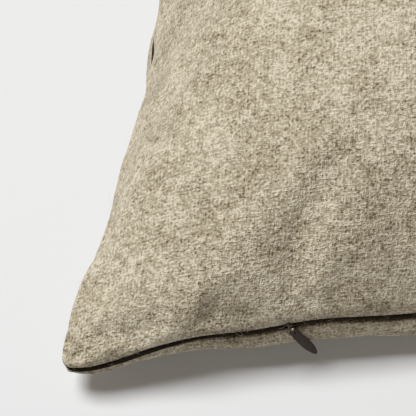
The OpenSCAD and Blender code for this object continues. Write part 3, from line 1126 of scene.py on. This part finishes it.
@dataclass
class WoolCover:
    """The removable cover: two panels, the piping in their seam and stray wool fibres."""

    form: FilledForm
    seam: SeamLine
    finish: FulledWool = field(default_factory=FulledWool)
    cloth: float = 1.2 * MM
    fibre_counts: tuple[int, int] = (3300, 1300)
    fibre_mm: float = 3.6
    roll_weight: float = 6.0
    floor_gap: float = 0.1 * MM

    BARE: ClassVar[tuple[tuple[float, float, float], ...]] = (
        (0.07, 0.03, 0.75 * MM),
        (0.0, 0.008, -0.9 * MM),
        (3.965, 0.01, 0.7 * MM),
        (3.895, 0.007, 1.2 * MM),
        (3.636, 0.014, 1.7 * MM),
        (3.59, 0.02, 1.0 * MM),
    )

    def panels(self) -> list[bpy.types.Object]:
        """Builds both panels, blown up as cloth and then given their thickness.

        Returns:
            The top and the bottom panel.
        """
        top = PanelShape(self.form, self.seam, Side.TOP, bare=self.BARE)
        low = {"slot": 1.45 * MM, "lip": 0.7 * MM, "lip_corner": -0.9 * MM, "bulge": 4.6 * MM}
        bottom = PanelShape(self.form, self.seam, Side.BOTTOM, **low)
        moves: tuple[Array | None, Array | None] = (None, None)
        trial = Inflation(top, bottom)
        moves = tuple(trial.refine(m, top.grid) for m in trial.run())
        material = self.finish.material("fulled_melange_wool")
        made = []
        for shape, name, node, move in (
            (top, "wool_top_panel", "cover_top_panel", moves[0]),
            (bottom, "wool_bottom_panel", "cover_bottom_panel", moves[1]),
        ):
            piece = shape.build(name, move)
            wall = piece.modifiers.new("cloth thickness", "SOLIDIFY")
            wall.thickness, wall.offset = self.cloth, -1.0
            wall.use_even_offset = False
            dress(piece, material)
            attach(piece, "pillow")
            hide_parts(node)
            made.append(piece)
        return made

    def fibres(self, panels: Sequence[bpy.types.Object]) -> bpy.types.Object:
        """Stray fibres that lie on the cloth or stand off it, closest on the roll beside the seam.

        Each fibre is a thin three-sided tube. Its line starts at a point of the cloth and goes along a random
        direction in it, swinging sideways as a half sine and rising off it as three quarters of another.

        Args:
            panels: The pieces that the fibres grow on.

        Returns:
            The fibres, as one piece.
        """
        rng = np.random.default_rng(40)
        roots, normals = [], []
        for piece, share in zip(panels, self.fibre_counts):
            mesh = piece.data
            faces = np.empty(len(mesh.polygons) * 3, np.float32)
            mesh.polygons.foreach_get("center", faces)
            norm = np.empty(len(mesh.polygons) * 3, np.float32)
            mesh.polygons.foreach_get("normal", norm)
            area = np.empty(len(mesh.polygons), np.float32)
            mesh.polygons.foreach_get("area", area)
            cells, ring = (PanelShape.grid - 1) ** 2, 4 * (PanelShape.grid - 1)
            weight = area[: cells + 5 * ring].astype(float)
            weight[cells:] *= self.roll_weight
            pick = rng.choice(weight.size, share, p=weight / weight.sum())
            roots.append(faces.reshape(-1, 3)[pick])
            normals.append(norm.reshape(-1, 3)[pick])
        root = np.concatenate(roots).astype(float)
        normal = np.concatenate(normals).astype(float)
        count, steps = len(root), 7
        heading = rng.normal(size=(count, 3))
        heading -= (heading * normal).sum(1, keepdims=True) * normal
        heading /= np.linalg.norm(heading, axis=1, keepdims=True)
        sideways = np.cross(normal, heading)
        length = rng.lognormal(math.log(self.fibre_mm), 0.5, count) * MM
        length[rng.random(count) < 0.03] *= 2.6
        swing = rng.normal(0, 0.28, count) * length
        rise = np.abs(rng.normal(0, 0.16, count)) * length + 0.1 * MM
        t = np.linspace(0, 1, steps)[None, :, None]
        line = (
            root[:, None]
            + heading[:, None] * length[:, None, None] * t
            + sideways[:, None] * swing[:, None, None] * np.sin(math.pi * t)
            + normal[:, None] * (rise[:, None, None] * np.sin(0.75 * math.pi * t) - 0.05 * MM)
        )
        line[..., 2] = np.maximum(line[..., 2], self.floor_gap)
        radius = rng.uniform(0.022, 0.042, count)[:, None, None, None] * MM * (1.05 - t[..., None] ** 3)
        turn = np.arange(3) * (2 * math.pi / 3)
        around = (
            np.cos(turn)[None, None, :, None] * normal[:, None, None]
            + np.sin(turn)[None, None, :, None] * sideways[:, None, None]
        )
        points = (line[:, :, None] + radius * around).reshape(-1, 3)
        base = np.arange(count * steps * 3).reshape(count, steps, 3)
        a, b = base[:, :-1], base[:, 1:]
        quads = np.stack([a, np.roll(a, -1, 2), np.roll(b, -1, 2), b], -1).reshape(-1, 4)
        piece = make_piece("stray_wool_fibres", points, quads[:, ::-1])
        wool = PlainCloth((0.74, 0.69, 0.57), (0.42, 0.36, 0.27), 2 * MM, 0.01 * MM)
        dress(piece, wool.material("loose_wool"))
        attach(piece, "pillow")
        return piece


@dataclass
class Piping:
    """The covered cord in the seam."""

    seam: SeamLine
    radius: float = 1.55 * MM
    core: float = 0.9 * MM
    stations: int = 1200

    def tube(
        self, name: str, radius: float, around: int, uneven: Callable[[Array, Array], Array]
    ) -> bpy.types.Object:
        """A closed tube along the seam.

        Args:
            name: The piece's name.
            radius: Mean radius.
            around: Points round it.
            uneven: Factor on the radius, from the place along the seam and the angle round the tube.

        Returns:
            The piece.
        """
        s = self.seam
        fine = np.arange(s.STEPS) * (4.0 / s.STEPS)
        course = s.section(fine, np.zeros_like(fine), np.zeros_like(fine))
        walked = np.append(0.0, np.cumsum(np.linalg.norm(np.roll(course, -1, 0) - course, axis=1)))
        even = np.linspace(0, walked[-1], self.stations + 1)
        w = np.interp(even, walked, np.append(fine, 4.0))
        angle = np.linspace(0, 2 * math.pi, around + 1)
        ww, aa = np.meshgrid(w, angle, indexing="ij")
        r = radius * uneven(ww * (walked[-1] / 4), aa)
        points = s.section(ww, r * np.cos(aa), r * np.sin(aa))
        uv = np.stack(np.broadcast_arrays(even[:, None], angle[None, :] * radius), -1)
        index = np.arange((self.stations + 1) * (around + 1)).reshape(self.stations + 1, -1)
        piece = make_piece(name, points.reshape(-1, 3), grid_faces(index), uv.reshape(-1, 2))
        work = bmesh.new()
        work.from_mesh(piece.data)
        bmesh.ops.remove_doubles(work, verts=work.verts, dist=0.002 * MM)
        bmesh.ops.recalc_face_normals(work, faces=work.faces)
        work.to_mesh(piece.data)
        work.free()
        return piece

    def build(self) -> list[bpy.types.Object]:
        """Builds the cloth tube and the cord in it."""

        def wrapped(run: Array, angle: Array) -> Array:
            """Slight slubs and flats of the strip: small sines along it and round it."""
            slub = 0.035 * np.sin(run / (2.9 * MM)) * np.sin(run / (7.3 * MM) + 1.0)
            flat = 0.02 * np.sin(2 * angle + run / (11 * MM))
            return 1 + slub + flat + 0.018 * np.sin(run / (1.1 * MM) + 3 * angle)

        def twisted(run: Array, angle: Array) -> Array:
            """Three plies: the radius rises and falls three times round, and turns along the cord."""
            return 0.92 + 0.08 * np.cos(3 * (angle - run / (1.6 * MM)))

        strip = self.tube("piping_cloth_tube", self.radius, 20, wrapped)
        dress(strip, PipingCloth().material("dark_bias_strip"))
        core = self.tube("piping_core", self.core, 12, twisted)
        cotton = TwistedThread((0.80, 0.76, 0.66), (0.55, 0.50, 0.41), 1.6 * MM)
        dress(core, cotton.material("cotton_core"))
        for piece, node, slot in (
            (strip, "piping_strip", "piping_cloth"),
            (core, "piping_cord", "cotton_cord"),
        ):
            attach(piece, "pillow")
            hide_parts(node)
        return [strip, core]


@dataclass
class FeatherInsert:
    """The inner pad: two cotton panels round loose feathers."""

    form: FilledForm
    seam: SeamLine
    inset: float = 14 * MM
    count: int = 97

    def build(self) -> list[bpy.types.Object]:
        """Builds the two cotton panels and the filling."""
        common = {"grid": self.count, "inset": self.inset, "roll": 0.9 * MM, "lip": -0.9 * MM}
        common["lip_corner"] = -0.9 * MM
        top = PanelShape(self.form, self.seam, Side.TOP, crown_less=3.2 * MM, **common)
        low = PanelShape(self.form, self.seam, Side.BOTTOM, lift=2.0 * MM, bulge=0.0, **common)
        cloth = PlainCloth((0.86, 0.83, 0.76), (0.70, 0.66, 0.58), 0.7 * MM, 0.12 * MM)
        cotton = cloth.material("downproof_cotton")
        made = []
        for shape, name, node in (
            (top, "insert_top_cotton", "insert_top_panel"),
            (low, "insert_bottom_cotton", "insert_bottom_panel"),
        ):
            piece = shape.build(name)
            wall = piece.modifiers.new("cotton thickness", "SOLIDIFY")
            wall.thickness, wall.offset = 0.6 * MM, -1.0
            dress(piece, cotton)
            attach(piece, "pillow")
            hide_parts(node)
            made.append(piece)
        made.append(self.filling())
        return made

    def filling(self) -> bpy.types.Object:
        """The feathers as one lumpy closed body.

        It is the panels' own shape taken in, with a lattice of soft lumps pressed into its top along z.

        Returns:
            The piece.
        """
        count = self.count
        common = {"inset": self.inset + 4 * MM, "lip": -2 * MM, "lip_corner": -2 * MM}
        top = PanelShape(self.form, self.seam, Side.TOP, crown_less=6 * MM, **common)
        low = PanelShape(self.form, self.seam, Side.BOTTOM, lift=4 * MM, bulge=0.0, **common)
        upper, lower = top.face(count), low.face(count)
        rng = np.random.default_rng(8)
        lumps = np.zeros((count, count))
        for size in (7, 13):
            coarse = rng.normal(size=(size, size))
            weights = cubic_weights(size, count)
            lumps += weights @ coarse @ weights.T
        s = top.stations(count)
        calm = smooth_step((1 - np.abs(s)) / 0.3)
        upper[..., 2] -= 1.0 * MM * (np.tanh(lumps) + 1) * calm[:, None] * calm[None, :]
        points = np.concatenate([upper.reshape(-1, 3), lower.reshape(-1, 3)])
        piece = make_piece("insert_feathers", points, bag_faces(count)[0])
        dress(piece, FeatherFill().material("loose_feathers"))
        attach(piece, "pillow")
        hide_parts("insert_filling")
        return piece


@dataclass
class ConcealedZip:
    """The zip behind the front piping, with its bridge and leaf-shaped pull tab outside."""

    bevel: float = 0.16 * MM

    def bevelled(self, node: str, name: str, body: str, width: float) -> bpy.types.Object:
        """A copy of a hard part with its loose triangles merged and its edges rounded.

        Args:
            node: The part to copy.
            name: The new piece's name.
            body: The body that it rides on.
            width: Width of the rounding.

        Returns:
            The piece.
        """
        mesh = frame["nodes"][node].data.copy()
        piece = bpy.data.objects.new(name, mesh)
        bpy.context.scene.collection.objects.link(piece)
        work = bmesh.new()
        work.from_mesh(mesh)
        bmesh.ops.remove_doubles(work, verts=work.verts, dist=0.004 * MM)
        bmesh.ops.dissolve_limit(work, angle_limit=math.radians(1.0), verts=work.verts, edges=work.edges)
        work.to_mesh(mesh)
        work.free()
        mesh.polygons.foreach_set("use_smooth", np.ones(len(mesh.polygons), bool))
        edge = piece.modifiers.new("rounded edges", "BEVEL")
        edge.width, edge.segments = width, 3
        edge.limit_method, edge.angle_limit = "ANGLE", math.radians(32)
        edge.use_clamp_overlap = True
        edge.harden_normals = True
        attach(piece, body)
        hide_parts(node)
        return piece

    def build(self) -> list[bpy.types.Object]:
        """Dresses the hidden parts and builds the two that show."""
        pin = next(Vector(j["pos_m"]) for j in frame["joints"] if j["name"] == "tab_flip")
        tab = self.bevelled("zip_pull_tab", "leaf_pull_tab", "pull_tab", self.bevel)
        slider = self.bevelled("zip_slider", "slider_and_bridge", "slider", self.bevel * 0.7)
        for piece, radius, name in (
            (tab, 1.5 * MM, "brown_enamel_tab"),
            (slider, 2.2 * MM, "brown_enamel_slider"),
        ):
            dress(piece, EnamelledMetal(wear_at=tuple(pin), wear_radius=radius).material(name))
        nodes = frame["nodes"]
        tape = PlainCloth((0.34, 0.28, 0.21), (0.20, 0.16, 0.12), 0.6 * MM, 0.1 * MM).material("woven_tape")
        yarn = TwistedThread((0.46, 0.39, 0.30), (0.24, 0.20, 0.15), 0.8 * MM)
        thread = yarn.material("sewing_thread")
        teeth = MouldedNylon().material("nylon_coil")
        stops = EnamelledMetal().material("brown_enamel_stops")
        for names, material in (
            (("zip_tape_upper", "zip_tape_lower"), tape),
            (("zip_teeth_upper", "zip_teeth_lower"), teeth),
            (("zip_top_stops", "zip_bottom_stop"), stops),
            (("zip_thread_upper", "zip_thread_lower", "zip_bar_tacks"), thread),
            (("cover_seam_thread", "insert_seam_thread"), thread),
        ):
            for name in names:
                dress(nodes[name], material)
        return [tab, slider]


# ---------------------------------------------------------------- floor, light and camera


@dataclass
class Studio:
    """Pale seamless floor, a large soft light high on the left and the camera."""

    floor: Colour = (0.62, 0.62, 0.62)
    target: tuple[float, float, float] = (-180.9 * MM, -149.9 * MM, 20 * MM)
    distance: float = 791 * MM
    yaw: float = -2.35
    elevation: float = 52.6
    lens: float = 145.5
    floor_half: float = 4.0
    floor_glow: float = 0.08
    key_at: tuple[float, float, float] = (-1.35, 0.04, 2.75)
    key_size: float = 1.25
    key_watts: float = 112.0
    key_colour: Colour = (0.96, 0.98, 1.0)
    surroundings: Colour = (1.0, 0.80, 0.60)
    surroundings_strength: float = 0.12

    def light(self, name: str, at: Vector, size: float, watts: float, colour: Colour) -> None:
        """A square area light that faces the pillow.

        Args:
            name: The light's name.
            at: Its place.
            size: Its side.
            watts: Its power.
            colour: Its colour.
        """
        lamp = bpy.data.lights.new(name, "AREA")
        lamp.shape, lamp.size, lamp.energy, lamp.color = "SQUARE", size, watts, colour
        holder = bpy.data.objects.new(name, lamp)
        bpy.context.scene.collection.objects.link(holder)
        holder.location = at
        holder.rotation_mode = "QUATERNION"
        holder.rotation_quaternion = (Vector((-0.05, -0.05, 0.03)) - at).to_track_quat("-Z", "Y")

    def build(self) -> None:
        """Makes the floor, the light, the surroundings and the camera."""
        scene = bpy.context.scene
        scene.view_settings.view_transform = "Standard"
        half = self.floor_half
        corners = np.array([[-half, -half, 0], [half, -half, 0], [half, half, 0], [-half, half, 0]], float)
        floor = make_piece("floor", corners, np.array([[0, 1, 2, 3]]))
        n = NodeSet("matte_floor")
        grain = n.noise(n.coordinates("Object"), 0.3, 2.0)
        pale = tuple(c * 0.985 for c in self.floor)
        finish = n.surface(
            Base_Color=n.blend(grain, pale, self.floor),
            Roughness=0.9,
            Specular_IOR_Level=0.1,
            Emission_Color=(1.0, 1.0, 1.0),
            Emission_Strength=self.floor_glow,
        )
        dress(floor, finish)
        self.light("key", Vector(self.key_at), self.key_size, self.key_watts, self.key_colour)
        world = bpy.data.worlds.new("surroundings")
        world.use_nodes = True
        back = world.node_tree.nodes["Background"]
        back.inputs["Color"].default_value = (*self.surroundings, 1.0)
        back.inputs["Strength"].default_value = self.surroundings_strength
        scene.world = world
        yaw, tilt = math.radians(self.yaw), math.radians(self.elevation)
        look = Vector((math.sin(yaw) * math.cos(tilt), math.cos(yaw) * math.cos(tilt), -math.sin(tilt)))
        lens = bpy.data.cameras.new("camera")
        lens.lens, lens.sensor_width = self.lens, 36.0
        lens.clip_start, lens.clip_end = 0.05, 20.0
        camera = bpy.data.objects.new("camera", lens)
        scene.collection.objects.link(camera)
        camera.location = Vector(self.target) - look * self.distance
        camera.rotation_mode = "QUATERNION"
        camera.rotation_quaternion = look.to_track_quat("-Z", "Y")
        scene.camera = camera


def main() -> None:
    """Builds the pillow's parts in order and reports each piece."""
    logging.basicConfig(level=logging.INFO, format="%(message)s")
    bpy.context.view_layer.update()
    form = FilledForm()
    seam = SeamLine(form)
    cover = WoolCover(form, seam)
    panels = cover.panels()
    made = [*panels, cover.fibres(panels), *Piping(seam).build()]
    made += [*FeatherInsert(form, seam).build(), *ConcealedZip().build()]
    for piece in made:
        log.info("%s: %d faces", piece.name, len(piece.data.polygons))
    Studio().build()


if __name__ == "__main__":
    main()
